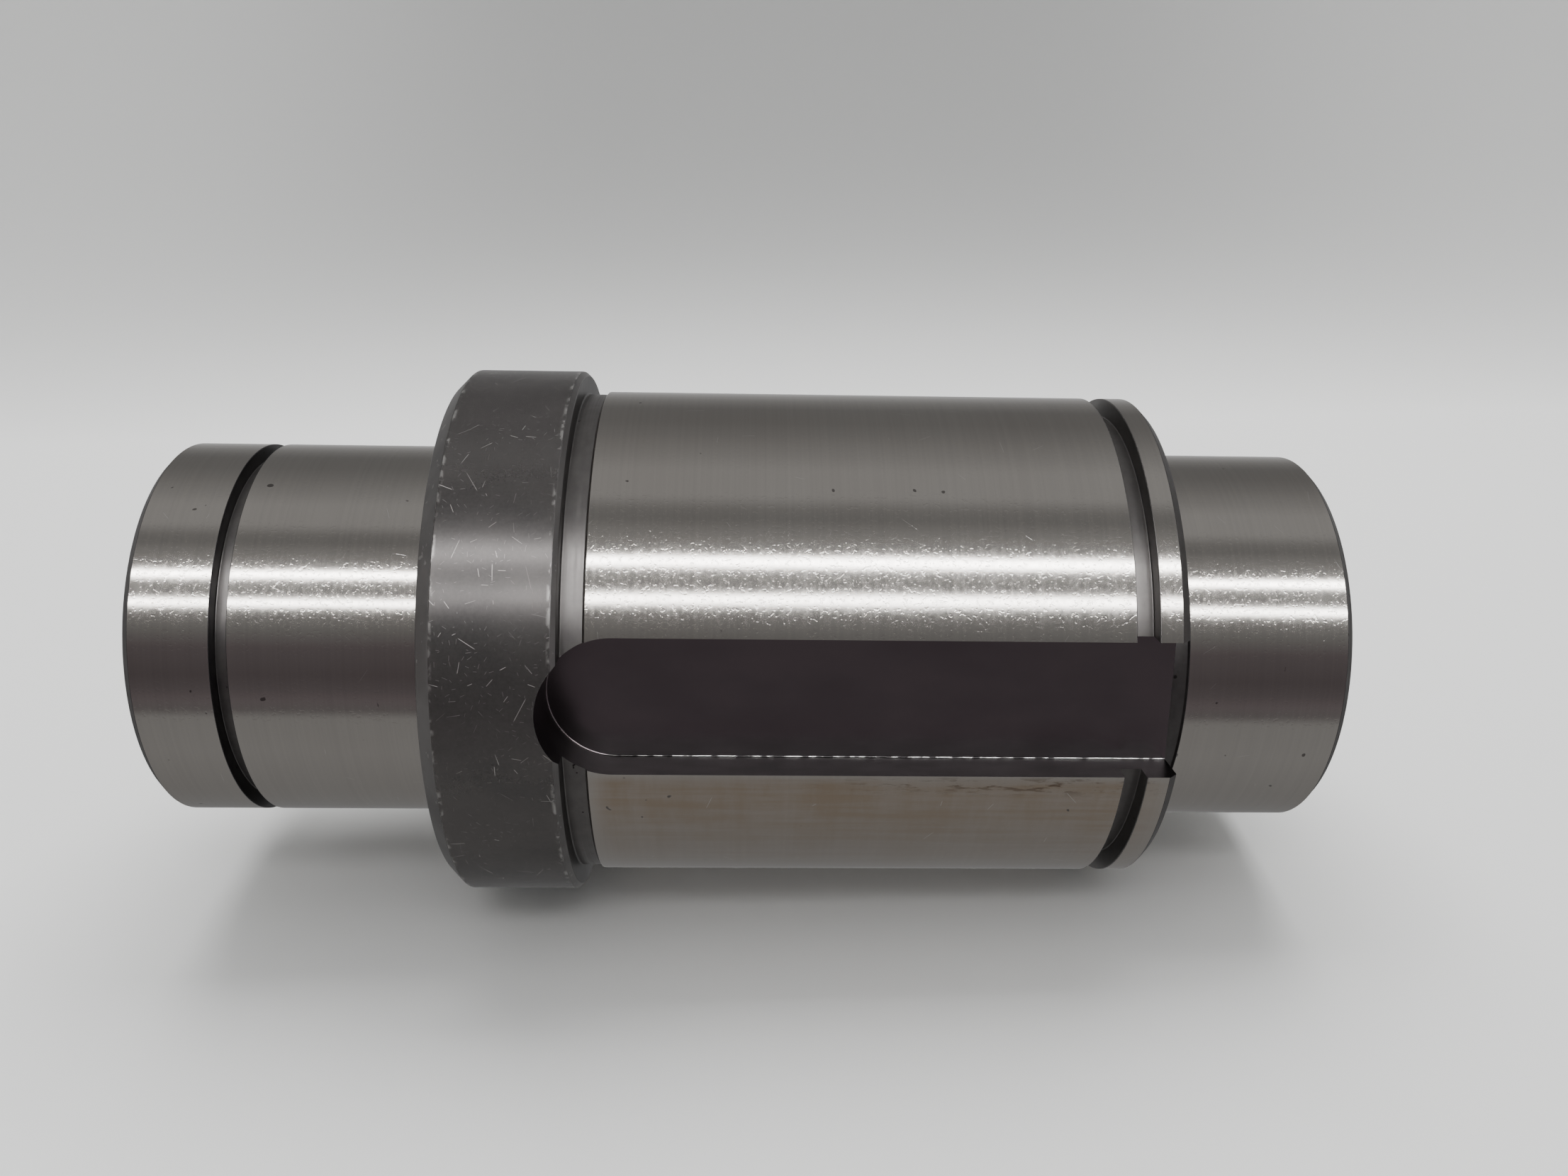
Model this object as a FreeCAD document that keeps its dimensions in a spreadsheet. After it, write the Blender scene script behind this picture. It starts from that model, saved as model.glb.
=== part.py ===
"""Long flanged linear ball bushing: a stepped, keyed steel sleeve on two tandem ball retainers.

The shaft axis is +X, the keyway faces -Y, and the origin is the middle of the sleeve. Millimetres.
Each retainer guides six endless ball circuits. A circuit lies in the plane that is tangent at its
loaded row, so its return row, one row gap to the side, runs further from the shaft.
"""
import FreeCAD, Part
import math
import os
import Sketcher

DIMENSIONS = {
    # outer shape, positions counted from the left end
    "length": 195.0,
    "journal_radius": 32.5,
    "body_radius": 42.5,
    "flange_radius": 46.0,
    "flange_start": 48.4,
    "flange_end": 69.5,
    "body_end": 165.3,
    "end_chamfer": 1.2,
    "flange_chamfer": 2.5,
    "flange_edge": 0.8,
    "rim_chamfer": 1.4,
    "relief_width": 3.5,
    "relief_depth": 0.5,
    "journal_relief_width": 2.7,
    "journal_relief_depth": 0.4,
    # outer ring grooves
    "left_groove_start": 13.8,
    "left_groove_width": 2.65,
    "left_groove_floor": 30.0,
    "right_groove_start": 156.8,
    "right_groove_width": 3.5,
    "right_groove_floor": 39.3,
    # keyway, open at the body's right end
    "key_width": 22.0,
    "key_depth": 9.0,
    "key_length": 99.1,
    # bore
    "race_radius": 25.65,
    "seat_radius": 27.5,
    "seat_depth": 11.65,
    "bore_chamfer": 0.8,
    "ring_groove_inset": 4.5,
    "ring_groove_width": 2.15,
    "ring_groove_floor": 29.0,
    # ball circuits
    "circuits": 6,
    "row_balls": 9,
    "ball_radius": 2.778,
    "row_radius": 22.82,
    "turn_radius": 4.0,
    "flute_radius": 2.95,
    "flute_start": 2.2,
    "track_radius": 2.93,
    # retainers and the spacer between them
    "retainer_length": 78.0,
    "retainer_outer": 25.5,
    "retainer_inner": 20.6,
    "spacer_outer": 25.5,
    "spacer_inner": 21.5,
    # retaining rings and seals
    "ring_thickness": 2.0,
    "ring_outer": 28.9,
    "ring_inner": 24.5,
    "lug_centre": 25.8,
    "lug_radius": 3.1,
    "lug_hole": 1.25,
    "lug_angle": 14.0,
    "ring_gap": 5.0,
    "case_wall": 1.2,
    "case_window": 22.5,
    "lip_radius": 20.02,
    "lip_root": 22.3,
    "lip_inset": 8.9,
    "lip_land": 1.0,
    "lip_slant": 0.6,
    "lip_back": 11.1,
}

SIDES = {"left": "-", "right": ""}

doc = FreeCAD.newDocument("LinearBallBushing")
sheet = doc.addObject("Spreadsheet::Sheet", "Dims")
for row, (alias, size) in enumerate(DIMENSIONS.items(), start=1):
    sheet.set(f"A{row}", alias)
    sheet.set(f"B{row}", str(size))
    sheet.setAlias(f"B{row}", alias)
derived = {
    "ball_pitch": "=turn_radius * pi / 2",
    "row_half": "=row_balls * ball_pitch / 2",
    "row_gap": "=2 * turn_radius",
    "retainer_centre": "=length / 2 - seat_depth - retainer_length / 2",
}
for row, (alias, formula) in enumerate(derived.items(), start=len(DIMENSIONS) + 1):
    sheet.set(f"A{row}", alias)
    sheet.set(f"B{row}", formula)
    sheet.setAlias(f"B{row}", alias)
doc.recompute()


def value(expression):
    """The present value of an expression over the sheet's dimensions."""
    return float(sheet.evalExpression(expression))


def bound(expression):
    """The same expression as seen from another object: each dimension is prefixed with its sheet."""
    names = sorted([*DIMENSIONS, *derived], key=len, reverse=True)
    text = expression
    for place, name in enumerate(names):
        text = text.replace(name, f"@{place}@")
    for place, name in enumerate(names):
        text = text.replace(f"@{place}@", f"Dims.{name}")
    return text


def from_left(alias):
    """A position along the axis, for a dimension that is counted from the left end."""
    return f"{alias} - length / 2"


def attached_sketch(body, name, role):
    """An empty sketch on one of the body's own origin planes."""
    sketch = body.newObject("Sketcher::SketchObject", name)
    plane = next(feature for feature in body.Origin.OriginFeatures if feature.Role == role)
    sketch.AttachmentSupport = [(plane, "")]
    sketch.MapMode = "FlatFace"
    return sketch


def hold(sketch, kind, geometry, point, expression):
    """Fix one coordinate of a sketch point to an expression."""
    index = sketch.addConstraint(
        Sketcher.Constraint(kind, -1, 1, geometry, point, value(expression)))
    sketch.setExpression(f"Constraints[{index}]", bound(expression))


def outline(sketch, corners):
    """A closed polygon whose corners are pairs of expressions."""
    points = [FreeCAD.Vector(value(across), value(up), 0) for across, up in corners]
    first = sketch.GeometryCount
    for place, point in enumerate(points):
        following = points[(place + 1) % len(points)]
        sketch.addGeometry(Part.LineSegment(point, following))
    for place, (across, up) in enumerate(corners):
        line = first + place
        following = first + (place + 1) % len(points)
        sketch.addConstraint(Sketcher.Constraint("Coincident", line, 2, following, 1))
        hold(sketch, "DistanceX", line, 1, across)
        hold(sketch, "DistanceY", line, 1, up)


def rectangle(sketch, low, high, inner, outer):
    outline(sketch, [(low, inner), (high, inner), (high, outer), (low, outer)])


def turned(name, corners):
    """A body turned about the shaft axis from one half section."""
    body = doc.addObject("PartDesign::Body", name)
    sketch = attached_sketch(body, f"{name}_section", "XY_Plane")
    outline(sketch, corners)
    solid = body.newObject("PartDesign::Revolution", f"{name}_turning")
    solid.Profile = sketch
    solid.ReferenceAxis = (sketch, ["H_Axis"])
    solid.Angle = 360
    doc.recompute()
    return body


def mirrored(corners, side):
    """The same half section for the other end of the bushing."""
    sign = SIDES[side]
    return [(f"{sign}({across})", up) for across, up in corners]


def sleeve_section():
    left_end = "-length / 2"
    right_end = "length / 2"
    flange_left = from_left("flange_start")
    flange_right = from_left("flange_end")
    shoulder = from_left("body_end")
    left_journal = [
        (left_end, "journal_radius - end_chamfer"),
        (f"{left_end} + end_chamfer", "journal_radius"),
        (flange_left, "journal_radius"),
    ]
    flange = [
        (flange_left, "flange_radius - flange_chamfer"),
        (f"{flange_left} + flange_chamfer", "flange_radius"),
        (f"{flange_right} - flange_edge", "flange_radius"),
        (flange_right, "flange_radius - flange_edge"),
    ]
    body = [
        (flange_right, "body_radius - relief_depth"),
        (f"{flange_right} + relief_width", "body_radius - relief_depth"),
        (f"{flange_right} + relief_width", "body_radius"),
        (f"{shoulder} - rim_chamfer", "body_radius"),
        (shoulder, "body_radius - rim_chamfer"),
    ]
    right_journal = [
        (shoulder, "journal_radius - journal_relief_depth"),
        (f"{shoulder} + journal_relief_width", "journal_radius - journal_relief_depth"),
        (f"{shoulder} + journal_relief_width", "journal_radius"),
        (f"{right_end} - end_chamfer", "journal_radius"),
        (right_end, "journal_radius - end_chamfer"),
    ]
    half_bore = [
        ("length / 2", "seat_radius + bore_chamfer"),
        ("length / 2 - bore_chamfer", "seat_radius"),
        ("length / 2 - seat_depth", "seat_radius"),
        ("length / 2 - seat_depth", "race_radius"),
    ]
    bore = half_bore + mirrored(half_bore, "left")[::-1]
    return left_journal + flange + body + right_journal + bore


def cut_ring_grooves(body):
    """Two ring grooves outside the sleeve and one near each end of its bore."""
    sketch = attached_sketch(body, "ring_grooves", "XY_Plane")
    rectangle(sketch, from_left("left_groove_start"),
              from_left("left_groove_start + left_groove_width"), "left_groove_floor", "journal_radius + 1")
    rectangle(sketch, from_left("right_groove_start"),
              from_left("right_groove_start + right_groove_width"), "right_groove_floor", "body_radius + 1")
    for sign in SIDES.values():
        near = f"{sign}(length / 2 - ring_groove_inset)"
        far = f"{sign}(length / 2 - ring_groove_inset - ring_groove_width)"
        rectangle(sketch, far, near, "seat_radius - 1", "ring_groove_floor")
    groove = body.newObject("PartDesign::Groove", "ring_groove_cut")
    groove.Profile = sketch
    groove.ReferenceAxis = (sketch, ["H_Axis"])
    groove.Angle = 360
    doc.recompute()


def cut_keyway(body):
    """A flat-bottomed keyway with one round end, open at the body's right shoulder."""
    radius = value("key_width / 2")
    left = value(f"{from_left('body_end')} - key_length + key_width / 2")
    right = value(from_left("body_end + rim_chamfer"))
    sketch = attached_sketch(body, "keyway_outline", "XZ_Plane")
    sketch.setExpression("AttachmentOffset.Base.z", bound("body_radius - key_depth"))
    up = FreeCAD.Vector(0, 0, 1)
    round_end = Part.Circle(FreeCAD.Vector(left, 0, 0), up, radius)
    sketch.addGeometry(Part.ArcOfCircle(round_end, math.pi / 2, 3 * math.pi / 2))
    high = [FreeCAD.Vector(left, radius, 0), FreeCAD.Vector(right, radius, 0)]
    low = [FreeCAD.Vector(left, -radius, 0), FreeCAD.Vector(right, -radius, 0)]
    sketch.addGeometry(Part.LineSegment(*high))
    sketch.addGeometry(Part.LineSegment(*low))
    sketch.addGeometry(Part.LineSegment(high[1], low[1]))
    arc, top, bottom, mouth = range(4)
    sketch.addConstraint([
        Sketcher.Constraint("Tangent", arc, 1, top, 1),
        Sketcher.Constraint("Tangent", arc, 2, bottom, 1),
        Sketcher.Constraint("Coincident", top, 2, mouth, 1),
        Sketcher.Constraint("Coincident", bottom, 2, mouth, 2),
        Sketcher.Constraint("Horizontal", top),
        Sketcher.Constraint("Horizontal", bottom),
        Sketcher.Constraint("Vertical", mouth),
        Sketcher.Constraint("PointOnObject", arc, 3, -1),
    ])
    width = sketch.addConstraint(Sketcher.Constraint("Radius", arc, radius))
    sketch.setExpression(f"Constraints[{width}]", bound("key_width / 2"))
    hold(sketch, "DistanceX", arc, 3, f"{from_left('body_end')} - key_length + key_width / 2")
    hold(sketch, "DistanceX", mouth, 1, from_left("body_end + rim_chamfer"))
    pocket = body.newObject("PartDesign::Pocket", "keyway_cut")
    pocket.Profile = sketch
    pocket.Reversed = True
    pocket.setExpression("Length", bound("key_depth + flange_radius - body_radius + 1"))
    doc.recompute()


def cut_flutes(body):
    """Relief flutes along the race: one over the return row and the turns of each circuit."""
    sketch = attached_sketch(body, "flute_outline", "YZ_Plane")
    radius = value("flute_radius")
    height = value("row_radius")
    along = FreeCAD.Vector(0, 0, 1)
    near = FreeCAD.Vector(value("flute_start"), height, 0)
    far = FreeCAD.Vector(value("row_gap"), height, 0)
    rise = FreeCAD.Vector(0, radius, 0)
    sketch.addGeometry(Part.ArcOfCircle(Part.Circle(near, along, radius), math.pi / 2, 3 * math.pi / 2))
    sketch.addGeometry(Part.ArcOfCircle(Part.Circle(far, along, radius), -math.pi / 2, math.pi / 2))
    sketch.addGeometry(Part.LineSegment(near + rise, far + rise))
    sketch.addGeometry(Part.LineSegment(near - rise, far - rise))
    first, second, top, bottom = range(4)
    sketch.addConstraint([
        Sketcher.Constraint("Tangent", first, 1, top, 1),
        Sketcher.Constraint("Tangent", first, 2, bottom, 1),
        Sketcher.Constraint("Tangent", second, 1, bottom, 2),
        Sketcher.Constraint("Tangent", second, 2, top, 2),
        Sketcher.Constraint("Equal", first, second),
    ])
    size = sketch.addConstraint(Sketcher.Constraint("Radius", first, radius))
    sketch.setExpression(f"Constraints[{size}]", bound("flute_radius"))
    for arc, across in ((first, "flute_start"), (second, "row_gap")):
        hold(sketch, "DistanceX", arc, 3, across)
        hold(sketch, "DistanceY", arc, 3, "row_radius")
    flute = body.newObject("PartDesign::Pocket", "flute_cut")
    flute.Profile = sketch
    flute.Midplane = True
    flute.setExpression("Length", bound("2 * (retainer_centre + row_half + turn_radius + flute_radius + 0.3)"))
    doc.recompute()
    pattern = body.newObject("PartDesign::PolarPattern", "flute_pattern")
    pattern.Originals = [flute]
    pattern.Axis = (sketch, ["N_Axis"])
    pattern.Angle = 360
    pattern.setExpression("Occurrences", bound("circuits"))
    body.Tip = pattern
    doc.recompute()


def make_sleeve():
    """The hardened outer sleeve; each cut has to take material away."""
    body = turned("sleeve", sleeve_section())
    for cut in (cut_ring_grooves, cut_keyway, cut_flutes):
        before = body.Shape.Volume
        cut(body)
        if body.Shape.Volume >= before:
            raise RuntimeError(f"{cut.__name__} cut nothing")
    return body


def place(piece, across, sideways, height):
    """Bind a primitive's position to three expressions."""
    for axis, expression in zip("xyz", (across, sideways, height)):
        piece.setExpression(f"Placement.Base.{axis}", bound(expression))


def lying_cylinder(name, radius, start, length, sideways="0", height="0"):
    cylinder = doc.addObject("Part::Cylinder", name)
    cylinder.Placement.Rotation = FreeCAD.Rotation(FreeCAD.Vector(0, 1, 0), 90)
    cylinder.setExpression("Radius", bound(radius))
    cylinder.setExpression("Height", bound(length))
    place(cylinder, start, sideways, height)
    return cylinder


def hollow_cylinder(name, outer, inner, start, length):
    ring = doc.addObject("Part::Cut", name)
    ring.Base = lying_cylinder(f"{name}_outside", outer, start, length)
    ring.Tool = lying_cylinder(f"{name}_inside", inner, f"{start} - 1", f"{length} + 2")
    return ring


def fused(name, pieces):
    union = doc.addObject("Part::MultiFuse", name)
    union.Shapes = pieces
    return union


def turned_to(piece, circuit):
    """Swing a piece about the shaft axis to its circuit."""
    angle = 360 / DIMENSIONS["circuits"] * circuit
    piece.Placement = FreeCAD.Placement(
        FreeCAD.Vector(), FreeCAD.Rotation(FreeCAD.Vector(1, 0, 0), angle))
    return piece


def circuit_track(name, centre):
    """The closed channel of one circuit: two straight runs and two half turns."""
    straight = [
        lying_cylinder(f"{name}_{row}", "track_radius", f"{centre} - row_half", "2 * row_half",
                       sideways, "row_radius")
        for row, sideways in (("loaded", "0"), ("return", "row_gap"))
    ]
    turns = []
    for end, sign, swing in (("low", "-", 90), ("high", "+", -90)):
        turn = doc.addObject("Part::Torus", f"{name}_{end}")
        turn.setExpression("Radius1", bound("turn_radius"))
        turn.setExpression("Radius2", bound("track_radius"))
        turn.Angle3 = 180
        turn.Placement.Rotation = FreeCAD.Rotation(FreeCAD.Vector(0, 0, 1), swing)
        place(turn, f"{centre} {sign} row_half", "turn_radius", "row_radius")
        turns.append(turn)
    return fused(name, straight + turns)


def make_retainer(side):
    """A moulded cage: a tube with one track per circuit, open inwards only along the loaded rows."""
    name = f"retainer_{side}"
    centre = f"{SIDES[side]}(retainer_centre)"
    tube = hollow_cylinder(f"{name}_tube", "retainer_outer", "retainer_inner",
                           f"{centre} - retainer_length / 2", "retainer_length")
    tracks = [
        turned_to(circuit_track(f"{name}_track_{circuit + 1}", centre), circuit)
        for circuit in range(DIMENSIONS["circuits"])
    ]
    retainer = doc.addObject("Part::Cut", name)
    retainer.Base = tube
    retainer.Tool = fused(f"{name}_tracks", tracks)
    return retainer


def ball(name, across, sideways):
    sphere = doc.addObject("Part::Sphere", name)
    sphere.setExpression("Radius", bound("ball_radius"))
    place(sphere, across, sideways, "row_radius")
    return sphere


def ball_group(name, balls, circuit):
    group = doc.addObject("Part::Compound", name)
    group.Links = balls
    return turned_to(group, circuit)


def make_ball_row(kind, sideways, side, circuit):
    """One straight row of a circuit, loaded or returning."""
    name = f"{kind}_balls_{side}_{circuit + 1}"
    centre = f"{SIDES[side]}(retainer_centre)"
    count = DIMENSIONS["row_balls"]
    balls = [
        ball(f"{name}_{place_in_row + 1}",
             f"{centre} + ({place_in_row} - ({count} - 1) / 2) * ball_pitch", sideways)
        for place_in_row in range(count)
    ]
    return ball_group(name, balls, circuit)


def make_turn_balls(end, sign, side, circuit):
    """The two balls in one turn-around, a quarter of the turn each side of its middle."""
    name = f"turn_balls_{side}_{circuit + 1}_{end}"
    centre = f"{SIDES[side]}(retainer_centre)"
    balls = [
        ball(f"{name}_{number}", f"{centre} {sign} (row_half + turn_radius * cos(45 deg))",
             f"turn_radius * (1 {swing} sin(45 deg))")
        for number, swing in enumerate("-+", start=1)
    ]
    return ball_group(name, balls, circuit)


def make_spacer():
    """The tube that keeps the two retainers apart."""
    half = "retainer_centre - retainer_length / 2"
    return hollow_cylinder("spacer_tube", "spacer_outer", "spacer_inner", f"-({half})", f"2 * ({half})")


def make_retaining_ring(side):
    """An internal spring ring with two lugs for circlip pliers."""
    name = f"retaining_ring_{side}"
    near_face = "length / 2 - ring_groove_inset - ring_groove_width"
    start = near_face if side == "right" else f"-({near_face}) - ring_thickness"
    ring = hollow_cylinder(f"{name}_blank", "ring_outer", "ring_inner", start, "ring_thickness")
    lugs = []
    holes = []
    for number, sign in enumerate("-+", start=1):
        sideways = f"0 {sign} lug_centre * sin(lug_angle * 1 deg)"
        height = "lug_centre * cos(lug_angle * 1 deg)"
        lugs.append(lying_cylinder(f"{name}_lug_{number}", "lug_radius", start, "ring_thickness",
                                   sideways, height))
        holes.append(lying_cylinder(f"{name}_hole_{number}", "lug_hole", f"{start} - 1",
                                    "ring_thickness + 2", sideways, height))
    gap = doc.addObject("Part::Box", f"{name}_gap")
    gap.setExpression("Length", bound("ring_thickness + 2"))
    gap.setExpression("Width", bound("ring_gap"))
    gap.setExpression("Height", bound("ring_outer"))
    place(gap, f"{start} - 1", "-ring_gap / 2", "ring_inner / 2")
    finished = doc.addObject("Part::Cut", name)
    finished.Base = fused(f"{name}_with_lugs", [ring, *lugs])
    finished.Tool = fused(f"{name}_cuts", [gap, *holes])
    return finished


def make_seal_case(side):
    """The pressed steel cup that holds the seal against the seat's shoulder."""
    back = "length / 2 - seat_depth"
    front = "length / 2 - ring_groove_inset - ring_groove_width"
    corners = [
        (back, "seat_radius - case_wall"),
        (f"{front} - case_wall", "seat_radius - case_wall"),
        (f"{front} - case_wall", "case_window"),
        (front, "case_window"),
        (front, "seat_radius"),
        (back, "seat_radius"),
    ]
    return turned(f"seal_case_{side}", mirrored(corners, side))


def make_seal_lip(side):
    """The rubber ring that wipes the shaft."""
    front = "length / 2 - ring_groove_inset - ring_groove_width - case_wall"
    lip_front = "length / 2 - lip_inset"
    back = "length / 2 - lip_back"
    corners = [
        (back, "lip_root"),
        (f"{lip_front} - lip_land - lip_slant", "lip_root"),
        (f"{lip_front} - lip_land", "lip_radius"),
        (lip_front, "lip_radius"),
        (lip_front, "lip_root"),
        (front, "lip_root"),
        (front, "seat_radius - case_wall"),
        (back, "seat_radius - case_wall"),
    ]
    return turned(f"seal_lip_{side}", mirrored(corners, side))


pieces = [make_sleeve(), make_spacer()]
for side in SIDES:
    pieces += [make_retainer(side), make_retaining_ring(side), make_seal_case(side), make_seal_lip(side)]
    for circuit in range(DIMENSIONS["circuits"]):
        pieces.append(make_ball_row("loaded", "0", side, circuit))
        pieces.append(make_ball_row("return", "row_gap", side, circuit))
        pieces.append(make_turn_balls("low", "-", side, circuit))
        pieces.append(make_turn_balls("high", "+", side, circuit))
doc.recompute()

for item in doc.Objects:
    if {"Invalid", "Error"} & set(item.State):
        raise RuntimeError(f"{item.Label} did not recompute: {item.State}")
for piece in pieces:
    if piece.Shape.isNull() or not piece.Shape.isValid():
        raise RuntimeError(f"{piece.Label} has no valid shape")

os.makedirs("parts", exist_ok=True)
for piece in pieces:
    piece.Shape.exportStep(f"parts/{piece.Label}.step")
    print(piece.Label, round(piece.Shape.Volume, 1), len(piece.Shape.Solids))
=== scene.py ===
"""Looks of the long flanged linear ball bushing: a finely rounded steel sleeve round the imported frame.

The shaft axis is +X, the keyway faces -Y and the origin is the middle of the sleeve. Metres, except
where a name ends in _MM.
"""
import math
import bmesh
import bpy
from mathutils import Euler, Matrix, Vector, noise


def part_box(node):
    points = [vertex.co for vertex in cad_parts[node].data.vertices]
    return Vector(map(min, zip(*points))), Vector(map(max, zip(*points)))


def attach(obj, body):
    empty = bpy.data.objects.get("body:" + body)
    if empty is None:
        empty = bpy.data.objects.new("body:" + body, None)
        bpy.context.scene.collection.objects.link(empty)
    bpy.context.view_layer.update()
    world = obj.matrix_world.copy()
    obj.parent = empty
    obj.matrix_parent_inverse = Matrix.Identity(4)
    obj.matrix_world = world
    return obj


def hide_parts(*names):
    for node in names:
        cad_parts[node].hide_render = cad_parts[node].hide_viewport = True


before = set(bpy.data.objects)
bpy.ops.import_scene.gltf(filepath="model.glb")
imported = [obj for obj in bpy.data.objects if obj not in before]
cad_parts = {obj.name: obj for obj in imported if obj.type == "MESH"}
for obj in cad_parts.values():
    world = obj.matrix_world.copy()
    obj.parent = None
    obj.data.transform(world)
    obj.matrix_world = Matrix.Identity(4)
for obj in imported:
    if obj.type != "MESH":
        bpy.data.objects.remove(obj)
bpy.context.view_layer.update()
_, sleeve_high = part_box("sleeve")

MM = 0.001
HALF_LENGTH = sleeve_high.x
FLANGE_RADIUS = sleeve_high.z
LENGTH_MM = 2 * HALF_LENGTH / MM

# Outer shape of the sleeve. Positions along the axis are counted from its left end.
JOURNAL_MM = 32.5
BODY_MM = 42.5
FLANGE_MM = FLANGE_RADIUS / MM
FLANGE_START_MM = 48.4
FLANGE_END_MM = 69.5
BODY_END_MM = 165.3
END_CHAMFER_MM = 1.2
FLANGE_CHAMFER_MM = 2.5
FLANGE_EDGE_MM = 0.8
RIM_CHAMFER_MM = 1.4

# Its ring grooves and reliefs: where each starts and ends, and the radius of its floor
LEFT_GROOVE_MM = (13.8, 16.45)
LEFT_GROOVE_FLOOR_MM = 30.0
RIGHT_GROOVE_MM = (156.8, 160.3)
RIGHT_GROOVE_FLOOR_MM = 39.3
RELIEF_END_MM = 73.0
RELIEF_FLOOR_MM = 42.0
UNDERCUT_FLOOR_MM = 32.2
JOURNAL_RELIEF_FLOOR_MM = 32.1
JOURNAL_RELIEF_END_MM = BODY_END_MM + 2.7

# Bore. Positions are counted from the nearer end.
RACE_MM = 25.65
SEAT_MM = 27.5
SEAT_DEPTH_MM = 11.65
BORE_CHAMFER_MM = 0.8
RING_GROOVE_MM = 29.0
RING_GROOVE_NEAR_MM = 4.5
RING_GROOVE_FAR_MM = 6.65

# Keyway and the relief flutes over the return rows
KEY_RADIUS = 11 * MM
KEY_FLOOR = 33.5 * MM
KEY_LENGTH = 99.1 * MM
KEY_CENTRE = BODY_END_MM * MM - HALF_LENGTH - KEY_LENGTH + KEY_RADIUS
KEY_CORNER = 0.2 * MM
FLUTE_RADIUS = 2.95 * MM
FLUTE_ROW = (2.2 * MM, 8 * MM)
FLUTE_HEIGHT = 22.82 * MM
FLUTE_REACH = 82.5 * MM
CIRCUITS = 6

# The mesh: faces round the axis, and the edge length below which a face is a sliver
AROUND = 540
SLIVER = 1e-6


def from_left(position_mm):
    """The frame's x, in metres, of a position in mm from the sleeve's left end."""
    return position_mm * MM - HALF_LENGTH


# ---------------------------------------------------------------- meshes

def new_object(name, vertices, faces, materials=()):
    mesh = bpy.data.meshes.new(name)
    mesh.from_pydata(vertices, [], faces)
    piece = bpy.data.objects.new(name, mesh)
    bpy.context.scene.collection.objects.link(piece)
    for material in materials:
        mesh.materials.append(material)
    return piece


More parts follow.
